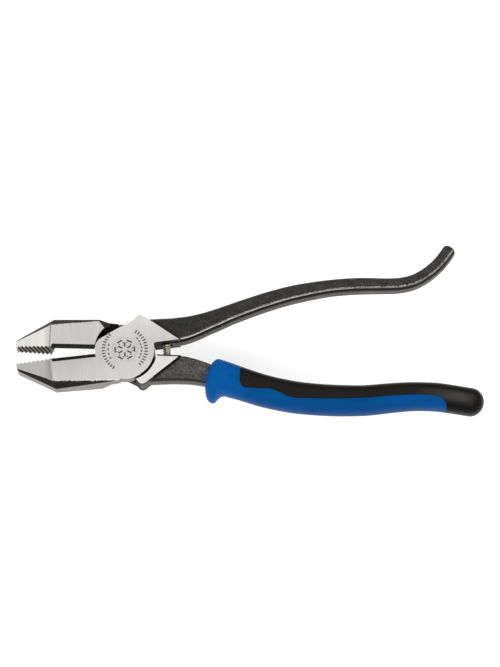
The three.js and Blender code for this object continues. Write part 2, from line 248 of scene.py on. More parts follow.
def ground_steel(name, tone, drifts=(), turn=0.0):
    """Surface-ground and lightly polished: fine lines across the tool, clouding, and a slow change of tone
    from the drifts, which paint the light's gradient across the faces.
    """
    s = Shader(name, Metallic=1.0, Anisotropic=0.3)
    lines = s.noise(s.place((1, 0.03, 0.03), turn), 0.25, detail=3)
    broad = s.noise(s.place((1, 0.12, 0.12), turn), 2.2, detail=3)
    clouds = s.noise(s.place(), 9, detail=5)
    specks = s.noise(s.place(), 0.7, detail=5, rough=0.75)
    base = s.mix(s.ramp(lines, 0.3, 0.7), warm(tone * 0.955), warm(tone * 1.035))
    base = s.mix(s.ramp(broad, 0.35, 0.75, 0.0, 0.45), base, warm(tone * 0.84))
    base = s.mix(s.ramp(clouds, 0.35, 0.8, 0.0, 0.35), base, warm(tone * 0.86))
    base = s.mix(s.ramp(specks, 0.6, 0.72, 0.0, 0.25), base, warm(tone * 0.6))
    base = s.drift(base, drifts)
    rough = s.ramp(lines, 0.2, 0.8, 0.26, 0.36)
    s.set(Base_Color=base, Roughness=rough, Normal=s.bump(lines, 0.002))
    return s.material


def side_steel():
    """Sides trimmed and ground rough after forging: duller, browner, with coarse lines along the tool."""
    s = Shader("steel_side", Metallic=0.9)
    lines = s.noise(s.place((0.06, 1, 1)), 0.35, detail=4)
    stain = s.noise(s.place((0.5, 1, 1)), 4, detail=5, rough=0.65)
    base = s.mix(s.ramp(lines, 0.3, 0.7), (0.12, 0.112, 0.107, 1), (0.22, 0.208, 0.2, 1))
    base = s.mix(s.ramp(stain, 0.5, 0.75, 0.0, 0.5), base, (0.1, 0.086, 0.078, 1))
    s.set(Base_Color=base, Roughness=s.ramp(lines, 0.2, 0.8, 0.34, 0.5), Normal=s.bump(lines, 0.012))
    return s.material


# the scale is heaviest by the head and thinnest at the hook, where the hand has been
SCALE_DRIFTS = ((0, 15, 60, 0.35), (0, 80, 165, 0.35))


def scale_black(name, tone=1.0, rubbed=0.0):
    """Forged and blackened steel: mottled scale, painted shade that darkens the sloped faces almost to black,
    and a bare band where the flash was trimmed off the side.

    `tone` lightens the scale and `rubbed` is how much of it is worn through to bright specks.
    """
    s = Shader(name, Metallic=0.0, Specular_IOR_Level=0.12)
    pits = s.noise(s.place(), 0.8, detail=5, rough=0.75)
    lumps = s.noise(s.place((0.6, 1, 1)), 3.4, detail=5, rough=0.65)
    drawn = s.noise(s.place((0.1, 1, 1)), 1.2, detail=5, rough=0.65)
    up = s.direction_z()
    off = s.height_off_middle()

    def shade(level, warmth=0.03):
        return grey(level * tone, warmth)

    black = s.mix(s.ramp(lumps, 0.35, 0.68), shade(0.008), shade(0.02))
    black = s.mix(s.ramp(pits, 0.5, 0.7, 0.0, 0.8), black, shade(0.052))
    black = s.mix(s.ramp(pits, 0.46, 0.36, 0.0, 0.6), black, shade(0.004))
    if rubbed:
        specks = s.noise(s.place((0.8, 1, 1)), 0.42, detail=4, rough=0.7)
        worn = s.ramp(specks, 0.62 - 0.3 * rubbed, 0.74 - 0.3 * rubbed)
        black = s.mix(worn, black, (0.3, 0.289, 0.278, 1))
        s.set(Metallic=s.math("MULTIPLY", worn, 0.8))
    # painted shade: faces tilted away from the flat faces are darkened almost to black
    black = s.mix(s.ramp(up, 0.97, 0.85, 0.0, 0.85), s.drift(black, SCALE_DRIFTS), grey(0.003))
    ragged = s.ramp(drawn, 0.3, 0.7, -0.5, 0.5)
    band = s.math("MULTIPLY", s.ramp(s.math("ADD", off, ragged), 4.0, 3.6), s.ramp(up, 0.42, 0.3))
    bare = s.mix(s.ramp(drawn, 0.32, 0.62), grey(0.025, 0.14), grey(0.085, 0.12))
    base = s.mix(band, black, bare)
    # the sharp edge beside a ground face is nicked bright
    nicked = s.ramp(s.math("ADD", off, s.ramp(pits, 0.35, 0.65, -0.5, 0.5)), 7.5, 7.8)
    base = s.mix(nicked, base, grey(0.42, 0.03))
    normal = s.bump(lumps, 0.1, s.bump(pits, 0.05))
    s.set(Base_Color=base, Roughness=s.ramp(pits, 0.3, 0.7, 0.42, 0.6), Normal=normal)
    return s.material


def worn_corner():
    """Corner of the handle, rubbed bright by the hand and the pocket."""
    s = Shader("steel_corner", Metallic=1.0)
    rub = s.noise(s.place((0.25, 1, 1)), 1.6, detail=5, rough=0.65)
    base = s.mix(s.ramp(rub, 0.3, 0.55), (0.11, 0.104, 0.099, 1), (0.33, 0.317, 0.306, 1))
    base = s.drift(base, ((0, 70, 120, -0.5),))
    s.set(Base_Color=base, Roughness=s.ramp(rub, 0.3, 0.7, 0.42, 0.3))
    return s.material


def lap_painted_shade():
    """Machined faces of the lap joint, and recesses and walls by the pivot: painted near black as shade, with
    almost no reflection.
    """
    s = Shader("steel_lap_painted_shade", Metallic=0.0, Specular_IOR_Level=0.015)
    film = s.noise(s.place(), 1.6, detail=4)
    base = s.mix(film, (0.003, 0.0028, 0.0026, 1), (0.014, 0.0128, 0.0118, 1))
    s.set(Base_Color=base, Roughness=s.ramp(film, 0.3, 0.7, 0.3, 0.55), Normal=s.bump(film, 0.01))
    return s.material


def tooth_steel(name, turn):
    """The knurl: painted near black in the grooves as shade, and rubbed bright on the crests near the half's
    parting plane.

    `turn` is the half's own turn from the closed tool.
    """
    s = Shader(name, Specular_IOR_Level=0.03)
    grain = s.noise(s.place(), 0.5, detail=5, rough=0.7)
    level = s.node("ShaderNodeSeparateXYZ", {0: s.place((MM, MM, MM), -turn)}).outputs[1]
    depth = s.math("MULTIPLY", s.math("ABSOLUTE", level), 1 / MM)
    depth = s.math("ADD", depth, s.ramp(grain, 0.3, 0.7, -0.12, 0.12))
    crest = s.ramp(depth, TEETH_GAP + 0.36 * TOOTH_DEPTH, TEETH_GAP + 0.1 * TOOTH_DEPTH)
    # painted shade: the grooves are near black
    base = s.mix(crest, grey(0.002), grey(0.19, 0.015))
    finish = s.ramp(grain, 0.3, 0.7, 0.26, 0.4)
    s.set(Base_Color=base, Metallic=crest, Roughness=finish, Normal=s.bump(grain, 0.02))
    return s.material


def knife_steel():
    """The knives' bevels: ground, then blackened."""
    s = Shader("steel_knife", Metallic=0.4, Specular_IOR_Level=0.06)
    grain = s.noise(s.place((1, 0.2, 0.2)), 0.6, detail=5, rough=0.7)
    base = s.mix(s.ramp(grain, 0.38, 0.66), grey(0.004, 0.02), grey(0.018, 0.02))
    s.set(Base_Color=base, Roughness=s.ramp(grain, 0.3, 0.7, 0.34, 0.5), Normal=s.bump(grain, 0.015))
    return s.material


def stamp_steel():
    """Floors of the stamped marks: burnt darker than the face."""
    s = Shader("steel_stamp", Metallic=0.2, Specular_IOR_Level=0.2)
    grain = s.noise(s.place(), 0.35, detail=4)
    base = s.mix(grain, (0.012, 0.0105, 0.0085, 1), (0.05, 0.044, 0.036, 1))
    s.set(Base_Color=base, Roughness=s.ramp(grain, 0.3, 0.7, 0.45, 0.65), Normal=s.bump(grain, 0.02))
    return s.material


def spring_wire():
    """Drawn spring wire with a thin brassy film."""
    s = Shader("spring_wire", Metallic=1.0)
    film = s.noise(s.place(), 1.3, detail=4)
    base = s.mix(s.ramp(film, 0.35, 0.7), (0.36, 0.33, 0.23, 1), (0.66, 0.63, 0.5, 1))
    s.set(Base_Color=base, Roughness=s.ramp(film, 0.3, 0.7, 0.24, 0.4), Normal=s.bump(film, 0.01))
    return s.material


def moulded(name, colour, shade, rough, grain_depth, drifts=(), painted_light_span=None, **sockets):
    """Moulded plastic: spark-eroded grain from the mould, faint flow clouding and rubbed patches; with a
    painted light span, the top faces are painted lighter and a painted highlight lies along the top between
    its ends.
    """
    s = Shader(name, **sockets)
    grain = s.noise(s.place(), 0.16, detail=2, rough=0.5)
    orange = s.noise(s.place(), 0.9, detail=3)
    flow = s.noise(s.place((0.35, 1, 1)), 7, detail=4, rough=0.6)
    rubbed = s.ramp(s.noise(s.place((0.4, 1, 1)), 11, detail=5, rough=0.7), 0.5, 0.72)
    base = s.mix(s.ramp(flow, 0.3, 0.75), colour, shade)
    base = s.drift(base, drifts)
    if painted_light_span is not None:
        up = s.direction_z()
        # painted light: faces towards the top are made lighter, and a painted highlight lies along the top
        # within the span
        painted_top_light = s.ramp(up, 0.8, 1.0)
        base = s.mix(s.math("MULTIPLY", painted_top_light, 0.25), base, grey(0.02, 0.12))
        here = s.node("ShaderNodeTexCoord").outputs["Object"]
        x = s.node("ShaderNodeSeparateXYZ", {0: here}).outputs[0]
        start, peak, end = (value * MM for value in painted_light_span)
        painted_highlight = s.math("MULTIPLY", s.ramp(x, start, peak), s.ramp(x, end, peak))
        painted_highlight = s.math("MULTIPLY", painted_highlight, s.ramp(up, 0.93, 1.0))
        base = s.mix(painted_highlight, base, grey(0.03, 0.02))
    dust = s.ramp(s.noise(s.place(), 0.55, detail=6, rough=0.75), 0.68, 0.8, 0.0, 0.06)
    base = s.mix(dust, base, (0.35, 0.35, 0.36, 1))
    finish = s.ramp(orange, 0.3, 0.7, rough, rough + 0.08)
    finish = s.math("SUBTRACT", finish, s.math("MULTIPLY", rubbed, 0.07))
    normal = s.bump(orange, grain_depth * 0.8, s.bump(grain, grain_depth))
    s.set(Base_Color=base, Roughness=finish, Normal=normal)
    return s.material


# painted light: the front half's ground steel darkens towards the jaw tip and lightens towards both long
# edges, standing for the lights' reflection across the faces
FRONT_PAINTED_LIGHT_DRIFTS = ((0, -8, -28, -0.13), (1, 2, 15, 0.16), (1, -3, -13, 0.11))
FRONT_GROUND = ground_steel("steel_front", 0.55, drifts=FRONT_PAINTED_LIGHT_DRIFTS)
REAR_GROUND = ground_steel("steel_rear", 0.55)
# painted light: a lighter copy of the ground steel for the rear half's shoulder
BRIGHT_GROUND = ground_steel("steel_bright", 0.7, turn=0.6)
# painted light and shade: the front nose is a darker copy and the rear nose a lighter copy of the ground
# steel, for how light falls on the thinned faces; each darkens over the last mm or two before the nose line
# as painted shade at the crease
NOSE_FRONT = ground_steel("steel_nose_front", 0.4, drifts=((0, -41, -39, -0.22),))
NOSE_REAR = ground_steel("steel_nose_rear", 0.64, drifts=((0, -40.5, -39, -0.2),))
SIDE = side_steel()
BLACK = scale_black("steel_black", tone=0.75)
BLACK_REAR = scale_black("steel_black_rear", tone=2.1)
RUBBED = scale_black("steel_black_rubbed", tone=0.75, rubbed=0.45)
CORNER = worn_corner()
# near-black painted shade for the lap faces, the recesses and the walls by the pivot
LAP_PAINTED_SHADE = lap_painted_shade()
TOOTH_FRONT = tooth_steel("steel_tooth_front", REST_OPENING / 2 - CLOSED_LEAN)
TOOTH_REAR = tooth_steel("steel_tooth_rear", CLOSED_LEAN - REST_OPENING / 2)
KNIFE = knife_steel()
STAMP = stamp_steel()
WIRE = spring_wire()
HARD_BLACK = moulded(
    "plastic_black",
    (0.002, 0.0019, 0.0019, 1),
    (0.0035, 0.0033, 0.0032, 1),
    0.33,
    0.012,
    # painted highlight along the top of the grip's end, brightest at 170 mm
    painted_light_span=(145, 170, 178),
    Specular_IOR_Level=0.05,
)
SOFT_BLUE = moulded(
    "plastic_blue",
    (0.0009, 0.047, 0.175, 1),
    (0.0009, 0.038, 0.138, 1),
    0.44,
    0.018,
    # painted light: the blue is lighter from 62 mm down to the collar, darker from 75 to 95 mm and lighter
    # again from 125 to 160 mm, for the light along the grip
    drifts=((0, 62, 50, 0.32), (0, 75, 95, -0.12), (0, 125, 160, 0.14)),
    Specular_IOR_Level=0.05,
    Specular_Tint=(0.2, 0.6, 1.0, 1),
)

# ---------------------------------------------------------------- solids


def object_of(bm, materials, name="piece"):
    mesh = bpy.data.meshes.new(name)
    bmesh.ops.recalc_face_normals(bm, faces=bm.faces)
    bm.to_mesh(mesh)
    bm.free()
    for material in materials:
        mesh.materials.append(material)
    made = bpy.data.objects.new(name, mesh)
    bpy.context.scene.collection.objects.link(made)
    return made


def settle(obj):
    """Applies the modifiers."""
    graph = bpy.context.evaluated_depsgraph_get()
    mesh = bpy.data.meshes.new_from_object(obj.evaluated_get(graph), depsgraph=graph)
    obj.modifiers.clear()
    obj.data = mesh


def combine(first, others, operation):
    """Adds to or cuts from the first object; a cut face takes the cutter's material."""
    for other in others:
        step = first.modifiers.new("step", "BOOLEAN")
        step.operation = operation
        step.object = other
        step.solver = "MANIFOLD"
        step.material_mode = "TRANSFER"
        settle(first)
        bpy.data.objects.remove(other)
    return first


def round_edges(bm, size, sharpest, material=0):
    """Rounds every edge sharper than that many degrees; material -1 keeps the neighbours' materials."""
    edges = [e for e in bm.edges if e.is_manifold and e.calc_face_angle() > math.radians(sharpest)]
    bmesh.ops.bevel(
        bm,
        geom=edges,
        offset=size,
        offset_type="OFFSET",
        segments=2,
        profile=0.5,
        affect="EDGES",
        clamp_overlap=True,
        material=material,
    )


def hull(corners):
    """The convex body round some corners."""
    bm = bmesh.new()
    for corner in corners:
        bm.verts.new(corner)
    done = bmesh.ops.convex_hull(bm, input=bm.verts)
    inner = {g for g in done["geom_interior"] + done["geom_unused"] if isinstance(g, bmesh.types.BMVert)}
    bmesh.ops.delete(bm, geom=list(inner), context="VERTS")
    bmesh.ops.dissolve_limit(bm, angle_limit=math.radians(0.8), verts=bm.verts, edges=bm.edges)
    bmesh.ops.recalc_face_normals(bm, faces=bm.faces)
    return bm


def prism(outline, z0, z1):
    """An outline in the tool's plane drawn out along Z."""
    bm = bmesh.new()
    low = [bm.verts.new((x, y, z0)) for x, y in outline]
    high = [bm.verts.new((x, y, z1)) for x, y in outline]
    bm.faces.new(low)
    bm.faces.new(high)
    for i in range(len(outline)):
        j = (i + 1) % len(outline)
        bm.faces.new((low[i], low[j], high[j], high[i]))
    bmesh.ops.recalc_face_normals(bm, faces=bm.faces)
    return bm


def arc(radius, start, end, steps=48):
    """Points of an arc about the pivot, angles in degrees, both ends included."""
    turn = [math.radians(start + (end - start) * i / steps) for i in range(steps + 1)]
    return [(radius * math.cos(a), radius * math.sin(a)) for a in turn]


def curve_through(a, control, b, steps):
    """A quadratic curve from a to b, both ends included."""
    return [
        tuple((1 - t) ** 2 * a[k] + 2 * t * (1 - t) * control[k] + t * t * b[k] for k in (0, 1))
        for t in (i / steps for i in range(steps + 1))
    ]


def disc(radius, z0, z1, steps=144):
    return prism(arc(radius, 0, 360 - 360 / steps, steps - 1), z0, z1)


def paint(bm, rule):
    """Gives each face the material number that the rule picks from its normal and centre."""
    for face in bm.faces:
        face.material_index = rule(face.normal, face.calc_center_median())


# ---------------------------------------------------------------- lofts


def spline(points, samples):
    """A Catmull-Rom curve through the points: samples of (point, direction), as many in each span."""
    padded = [
        tuple(2 * a - b for a, b in zip(points[0], points[1])),
        *points,
        tuple(2 * a - b for a, b in zip(points[-1], points[-2])),
    ]
    made = []
    spans = len(points) - 1
    for i in range(samples + 1):
        u = spans * i / samples
        k = min(int(u), spans - 1)
        t = u - k
        p = padded[k : k + 4]
        value = [catmull(*(q[a] for q in p), t) for a in range(len(points[0]))]
        slope = [catmull_slope(*(q[a] for q in p), t) for a in range(2)]
        made.append((value, math.atan2(slope[1], slope[0])))
    return made


def catmull(a, b, c, d, t):
    return 0.5 * (2 * b + (c - a) * t + (2 * a - 5 * b + 4 * c - d) * t**2 + (3 * b - a - 3 * c + d) * t**3)


def catmull_slope(a, b, c, d, t):
    return 0.5 * ((c - a) + 2 * (2 * a - 5 * b + 4 * c - d) * t + 3 * (3 * b - a - 3 * c + d) * t**2)


def rows_at(rows, x):
    """Linear reading of a table of (x, value) rows."""
    if x <= rows[0][0]:
        return rows[0][1]
    for (x0, v0), (x1, v1) in zip(rows, rows[1:]):
        if x <= x1:
            return v0 + (v1 - v0) * (x - x0) / (x1 - x0)
    return rows[-1][1]


def stations_along(points, widths, thicks, samples):
    """(x, y, direction, width, thickness) along a line."""
    return [
        (x, y, turn, rows_at(widths, x), rows_at(thicks, x)) for (x, y), turn in spline(points, samples)
    ]


def rounded_end(stations, length, steps=10, last=0.985):
    """Closes the last section in, as a quarter of an ellipse, for a rounded end."""
    x, y, turn, width, thick = stations[-1]
    ends = []
    for i in range(1, steps + 1):
        a = i / steps * math.pi / 2 * last
        ahead = length * math.sin(a)
        shrink = math.cos(a)
        at = (x + ahead * math.cos(turn), y + ahead * math.sin(turn))
        ends.append((*at, turn, width * shrink, thick * shrink))
    return stations + ends


def loft(stations, power, count):
    """Rings of a superellipse joined into one closed body."""
    bm = bmesh.new()
    rings = []
    for x, y, turn, width, thick in stations:
        ring = []
        for i in range(count):
            a = (i + 0.5) / count * 2 * math.pi
            across = width / 2 * math.copysign(abs(math.cos(a)) ** (2 / power), math.cos(a))
            up = thick / 2 * math.copysign(abs(math.sin(a)) ** (2 / power), math.sin(a))
            point = (x - across * math.sin(turn), y + across * math.cos(turn), MIDDLE + up)
            ring.append(bm.verts.new(point))
        rings.append(ring)
    for near, far in zip(rings, rings[1:]):
        for i in range(count):
            j = (i + 1) % count
            bm.faces.new((near[i], near[j], far[j], far[i]))
    bm.faces.new(rings[0])
    bm.faces.new(rings[-1])
    bmesh.ops.recalc_face_normals(bm, faces=bm.faces)
    return bm


def grown(stations, by):
    """The same sections, larger by that much on every side."""
    return [(x, y, turn, width + 2 * by, thick + 2 * by) for x, y, turn, width, thick in stations]


# ---------------------------------------------------------------- the forgings


def both_faces(corners):
    """Each (x, y, depth) at that depth below the front face and below the rear one."""
    return [(x, y, z) for x, y, depth in corners for z in (depth, THICKNESS - depth)]


def parting_y(x):
    """The parting plane passes through the pivot and leans from the die frame."""
    return -x * math.tan(CLOSED_LEAN)


def jaw(hooked):
    """The jaw before its teeth and knife are cut: it thins towards the nose and narrows towards the tip."""
    corners = [
        (NOSE_X + 0.5, parting_y(NOSE_X) - TEETH_GAP, NOSE_DROP),
        (NOSE_X, parting_y(NOSE_X) - TEETH_GAP - 0.8, NOSE_DROP),
        (NOSE_X, -2.4, NOSE_DROP),
        (NOSE_X + 0.8, -3.8, NOSE_DROP + 1.2),
        (NOSE_LINE_X, parting_y(NOSE_LINE_X) - TEETH_GAP, 0),
        (NOSE_LINE_X, -FACE_WIDTH, 0),
        (NOSE_LINE_X + 1.4, -JAW_WIDTH, SIDE_BEVEL),
        (-9, -JAW_WIDTH - 0.3, 1),
        (JAW_ROOT_X, -JAW_WIDTH - 0.05, 0),
        (JAW_ROOT_X, -TEETH_GAP, 0),
    ]
    bm = hull(both_faces(corners))

    def rule(normal, centre):
        """0 the ground face, 1 the thinned nose, 2 the side, 3 the bevel, 4 the gripping face."""
        if abs(normal.z) > 0.998:
            return 0
        if abs(normal.z) > 0.95:
            return 1
        if abs(normal.z) < 0.3 and normal.y < 0.5:
            return 2
        return 3 if normal.y < 0.5 else 4

    paint(bm, rule)
    round_edges(bm, 0.14, sharpest=12, material=-1)
    if hooked:
        return object_of(bm, [FRONT_GROUND, NOSE_FRONT, SIDE, BLACK, TOOTH_FRONT])
    return object_of(bm, [REAR_GROUND, NOSE_REAR, SIDE, BLACK, TOOTH_REAR])


def boss(hooked):
    """The round boss, cut straight from beside the jaws up to the handle's shoulder."""
    outline = arc(BOSS_R, -196, 68, 110)
    outline += [SHOULDER_END]
    outline += curve_through((-11.8, 7.6), (-13.7, 6.8), outline[0], 6)[:-1]
    bm = prism(outline, 0, THICKNESS)

    def rule(normal, centre):
        """0 the ground face, 1 the side, 2 the side that the other half laps round, painted near black as
        shade.
        """
        if abs(normal.z) > 0.9:
            return 0
        around = math.degrees(math.atan2(centre.y, centre.x))
        return 2 if -64 < around < 160 else 1

    paint(bm, rule)
    round_edges(bm, EDGE_R, sharpest=60)
    # the rounded edges of that side get the same near-black painted shade
    for face in bm.faces:
        if 0.02 < abs(face.normal.z) < 0.99 and rule(Vector(), face.calc_center_median()) == 2:
            face.material_index = 2
    return object_of(bm, [FRONT_GROUND if hooked else REAR_GROUND, SIDE, LAP_PAINTED_SHADE])


def shoulder(hooked):
    """The block that the handle grows from, cut off in a slant towards the handle."""
    start = (15, HANDLE_INNER_Y - 1.2)
    outline = [(0, 0)]
    outline += curve_through(start, (15.1, HANDLE_INNER_Y), (16.4, HANDLE_INNER_Y), 6)
    outline += [(24.2, HANDLE_INNER_Y), (SLANT_X, HANDLE_INNER_Y)]
    outline += curve_through((11.4, 16.5), (9.3, 18.2), SHOULDER_TIP, 10)
    outline += curve_through(SHOULDER_TIP, (6.8, 15.3), SHOULDER_END, 6)[1:]
    outline += [(-8, 9.2)]
    bm = prism(outline, 0, THICKNESS)

    def rule(normal, centre):
        """0 the ground face, 1 the forged side, 2 the sides near the pivot, painted near black as shade."""
        if abs(normal.z) > 0.9:
            return 0
        by_pivot = centre.y < 4 and centre.x < 24
        return 2 if by_pivot or (centre.x < 8.5 and centre.y > 8) else 1

    paint(bm, rule)
    round_edges(bm, EDGE_R, sharpest=60)
    # the rounded edges along the inner side are painted near black as shade
    for face in bm.faces:
        middle = face.calc_center_median()
        if middle.y < HANDLE_INNER_Y + EDGE_R + 0.05 and 0.02 < abs(face.normal.z) < 0.99:
            face.material_index = 2
    if hooked:
        return object_of(bm, [FRONT_GROUND, BLACK, LAP_PAINTED_SHADE])
    return object_of(bm, [BRIGHT_GROUND, BLACK_REAR, LAP_PAINTED_SHADE])


def chamfer_cutters():
    """What is ground off the gripped half along the inner edges of its shoulder."""
    reach = SHOULDER_CHAMFER + PAST
    made = []
    for z, down in ((0, 1), (THICKNESS, -1)):
        corners = []
        for x in (15.8, 30):
            for y, depth in ((-PAST, reach), (reach, -PAST), (-PAST, -PAST)):
                corners.append((x, HANDLE_INNER_Y + y, z + down * depth))
        made.append(object_of(hull(corners), [LAP_PAINTED_SHADE]))
    return made


def step_down():
    """The forged slope from the ground face down to the handle, painted near black as shade."""
    a = Vector((15.2, 13.4, 0))
    b = Vector((SLANT_X, HANDLE_INNER_Y, 0))
    out = Vector((b.y - a.y, a.x - b.x, 0)).normalized() * -STEP_WIDTH
    drop = (THICKNESS - HANDLE_THICK) / 2
    corners = []
    for p in (a, b):
        for q, depth in ((p - out * 1.5, 0.1), (p, 0.1), (p + out, drop)):
            corners += [(q.x, max(q.y, HANDLE_INNER_Y + 0.05), z) for z in (depth, THICKNESS - depth)]
    return object_of(hull(corners), [LAP_PAINTED_SHADE])


# the middle of the handle, and its width and thickness by x
HANDLE_LINE = [(12.2, 8.75), (30, 7.9), (44, 10.4), (56, 13.5), (68, 16.3), (80, 18.65), (92, 20.2)]
HANDLE_LINE += [(108, 20.95), (123, 20.2), (138, 18.35)]
HOOK_LINE = [(145, 18), (151, 18.8), (156.7, 20.95), (162.1, 24.15), (166.9, 28.1), (170.9, 32.4)]
TANG_LINE = [(150, 17.2), (166, 17.6)]
STEEL_WIDTH = [(15, 13.7), (30, 13.5), (44, 10.7), (56, 9.5), (68, 9.1), (92, 8.5), (108, 7.7), (123, 7.6)]
STEEL_WIDTH += [(138, 7.1), (150, 7.1), (160, 7), (171, 7)]
STEEL_THICK = [(15, HANDLE_THICK), (90, HANDLE_THICK), (171, 10.4)]
STEEL_POWER = 4
PAINTED_SHADE_END_X = 24


def handle_stations(hooked):
    """Sections of the bare handle to its hook, or of the tang that the grip hides."""
    line = HANDLE_LINE + (HOOK_LINE if hooked else TANG_LINE)
    made = stations_along(line, STEEL_WIDTH, STEEL_THICK, 150 if hooked else 110)
    return rounded_end(made, 2.9 if hooked else 1.6)


# A quarter of the steel's section, from mid thickness to the flat face: inset from the widest, height above
# mid thickness in parts of half the thickness, and the face that starts there
SCALE, SPECKLED, RUBBED_BARE = 0, 1, 2
STEEL_QUARTER = [
    (0.0, 0.1, SCALE),
    (0.02, 0.28, SCALE),
    (0.08, 0.45, SCALE),
    (0.2, 0.6, SCALE),
    (0.43, 0.735, SCALE),
    (0.95, 0.86, SCALE),
    (1.25, 0.944, RUBBED_BARE),
    (1.72, 0.972, SPECKLED),
    (2.2, 0.978, SCALE),
]
WHOLE_SECTION_WIDTH = 6.5  # a narrower section, near the closed end, is a smaller copy


def steel_section(width):
    """Points (across, up, face) round the section; the corners towards the other handle are rubbed."""
    inner = [(inset - width / 2, up, face) for inset, up, face in STEEL_QUARTER]
    outer = [(-across, up, SCALE) for across, up, _ in inner]
    upper = inner + outer[::-1]
    return upper + [(across, -up, face) for across, up, face in upper[::-1]]


def handle(hooked):
    """The forged handle: flat faces, rubbed corners and drafted sides."""
    bm = bmesh.new()
    rings = []
    for x, y, turn, width, thick in handle_stations(hooked):
        share = min(1.0, width / WHOLE_SECTION_WIDTH)
        section = steel_section(width / share)
        ring = []
        for across, up, _ in section:
            side = across * share
            point = (x - side * math.sin(turn), y + side * math.cos(turn), MIDDLE + up * thick / 2)
            ring.append(bm.verts.new(point))
        rings.append(ring)
    faces = [face for _, _, face in section]
    # the side towards the other handle is painted near black as shade near the pivot
    inner = [across < 0 and abs(up) < 0.97 for across, up, _ in section]
    for near, far in zip(rings, rings[1:]):
        painted_shade_zone = far[0].co.x < PAINTED_SHADE_END_X
        for i, face in enumerate(faces):
            j = (i + 1) % len(faces)
            made = bm.faces.new((near[i], near[j], far[j], far[i]))
            made.material_index = 3 if painted_shade_zone and inner[i] and inner[j] else face
    bm.faces.new(rings[0])
    bm.faces.new(rings[-1])
    finishes = [BLACK, RUBBED, CORNER] if hooked else [BLACK_REAR] * 3
    return object_of(bm, finishes + [LAP_PAINTED_SHADE])


def lap_cutters(hooked):
    """The room that the other half's boss plate and jaw need behind this half's own plate."""
    pocket_r = TIGHT_POCKET_R if hooked else HANDLE_POCKET_R
    top = MIDDLE + LAP_GAP / 2
    jaw_side = disc(JAW_POCKET_R, -PAST, top)
    handle_side = prism(arc(pocket_r, -90, 90), -PAST, top)
    behind = prism([(0, 0), (5.6, 15.3), (8.4, 18), (9.6, 19.2), (-20, 19.2), (-20, 0)], -PAST, top)
    # the wall across the jaw's heel is a slope, so that the cut narrows with depth
    heel = Vector((-13.9, -14.4))
    along = Vector((3, 3.5)).normalized()
    away = Vector((along.y, -along.x))
    slope = 4.5
    corners = []
    for z in (-PAST, top):
        for s in (-6, 9):
            for w in (0, 25):
                p = heel + along * s + away * (slope * z / MIDDLE + w)
                corners.append((p.x, p.y, z))
    return [object_of(bm, [LAP_PAINTED_SHADE]) for bm in (jaw_side, handle_side, behind, hull(corners))]


def knife_cutter(behind):
    """What is ground away to leave the cutting edge: a narrow bevel in front, a wide relief behind."""
    edge_z = THICKNESS - KNIFE_DEPTH
    section = [
        (PAST, THICKNESS + PAST),
        (-KNIFE_FACE, THICKNESS + PAST),
        (-KNIFE_FACE, THICKNESS),
        (-0.1, edge_z),
        (-2.6, edge_z - 3.2),
        (-KNIFE_RELIEF, 0),
        (-KNIFE_RELIEF, -PAST),
        (PAST, -PAST),
    ]
    bm = prism(section, 0, 60)
    bm.transform(Matrix(((0, 0, 1, KNIFE_START_X), (1, 0, 0, 0), (0, 1, 0, 0), (0, 0, 0, 1))))
    # its front end slants, as the side of a grinding wheel leaves it
    for vert in bm.verts:
        if vert.co.x < KNIFE_START_X + 1:
            vert.co.x -= 0.45 * vert.co.y + 0.9
    bm.transform(Matrix.Rotation(-CLOSED_LEAN, 4, "Z"))
    if behind:
        bm.transform(Matrix.Translation((0, 0, THICKNESS)) @ Matrix.Diagonal((1, 1, -1, 1)))
    return object_of(bm, [KNIFE])


def groove_cutter(lean, pitch, half, depth, tooth):
    """One set of V grooves across the gripping face, leaning from the thickness direction."""
    reach = THICKNESS * 1.2
    half *= math.cos(lean)
    wide = half * (1 + GROOVE_CLEAR / depth)
    outline = [
        (-wide, GROOVE_TOP),
        (-wide, GROOVE_CLEAR),
        (0, -depth),
        (wide, GROOVE_CLEAR),
        (wide, GROOVE_TOP),
    ]
    bm = bmesh.new()
    middle_x = (NOSE_X + NOSE_LINE_X) / 2
    spread = (NOSE_LINE_X - NOSE_X) + THICKNESS * abs(math.tan(lean))
    count = int(spread / pitch) + 2
    for i in range(count):
        one = prism(outline, -reach, reach)
        x = middle_x + (i - (count - 1) / 2) * pitch
        one.transform(Matrix.Translation((x, -TEETH_GAP, MIDDLE)) @ Matrix.Rotation(lean, 4, "Y"))
        mesh = bpy.data.meshes.new("groove")
        one.to_mesh(mesh)
        one.free()
        bm.from_mesh(mesh)
        bpy.data.meshes.remove(mesh)
    grooves = object_of(bm, [tooth])
    # the grooves start a little behind the tip and end just past the nose line
    start = NOSE_X + 1.2
    end = NOSE_LINE_X + 0.2
    zone = prism([(start, -3), (end, -3), (end, 2), (start, 2)], -PAST, THICKNESS + PAST)
    grooves = combine(grooves, [object_of(zone, [tooth])], "INTERSECT")
    grooves.data.transform(Matrix.Rotation(-CLOSED_LEAN, 4, "Z"))
    return grooves


def nose_lines():
    """The line that the grinding wheel leaves across each face where it starts to thin towards the nose."""
    outline = [(-NOSE_LINE_HALF, 0), (0, -NOSE_LINE_DEPTH), (NOSE_LINE_HALF, 0), (0, NOSE_LINE_DEPTH)]
    made = []
    for z in (-NOSE_LINE_CLEAR, THICKNESS + NOSE_LINE_CLEAR):
        line = prism(outline, -PAST, FACE_WIDTH + PAST)
        line.transform(Matrix.Translation((NOSE_LINE_X, 0, z)) @ Matrix.Rotation(math.pi / 2, 4, "X"))
        made.append(object_of(line, [SIDE]))
    return made


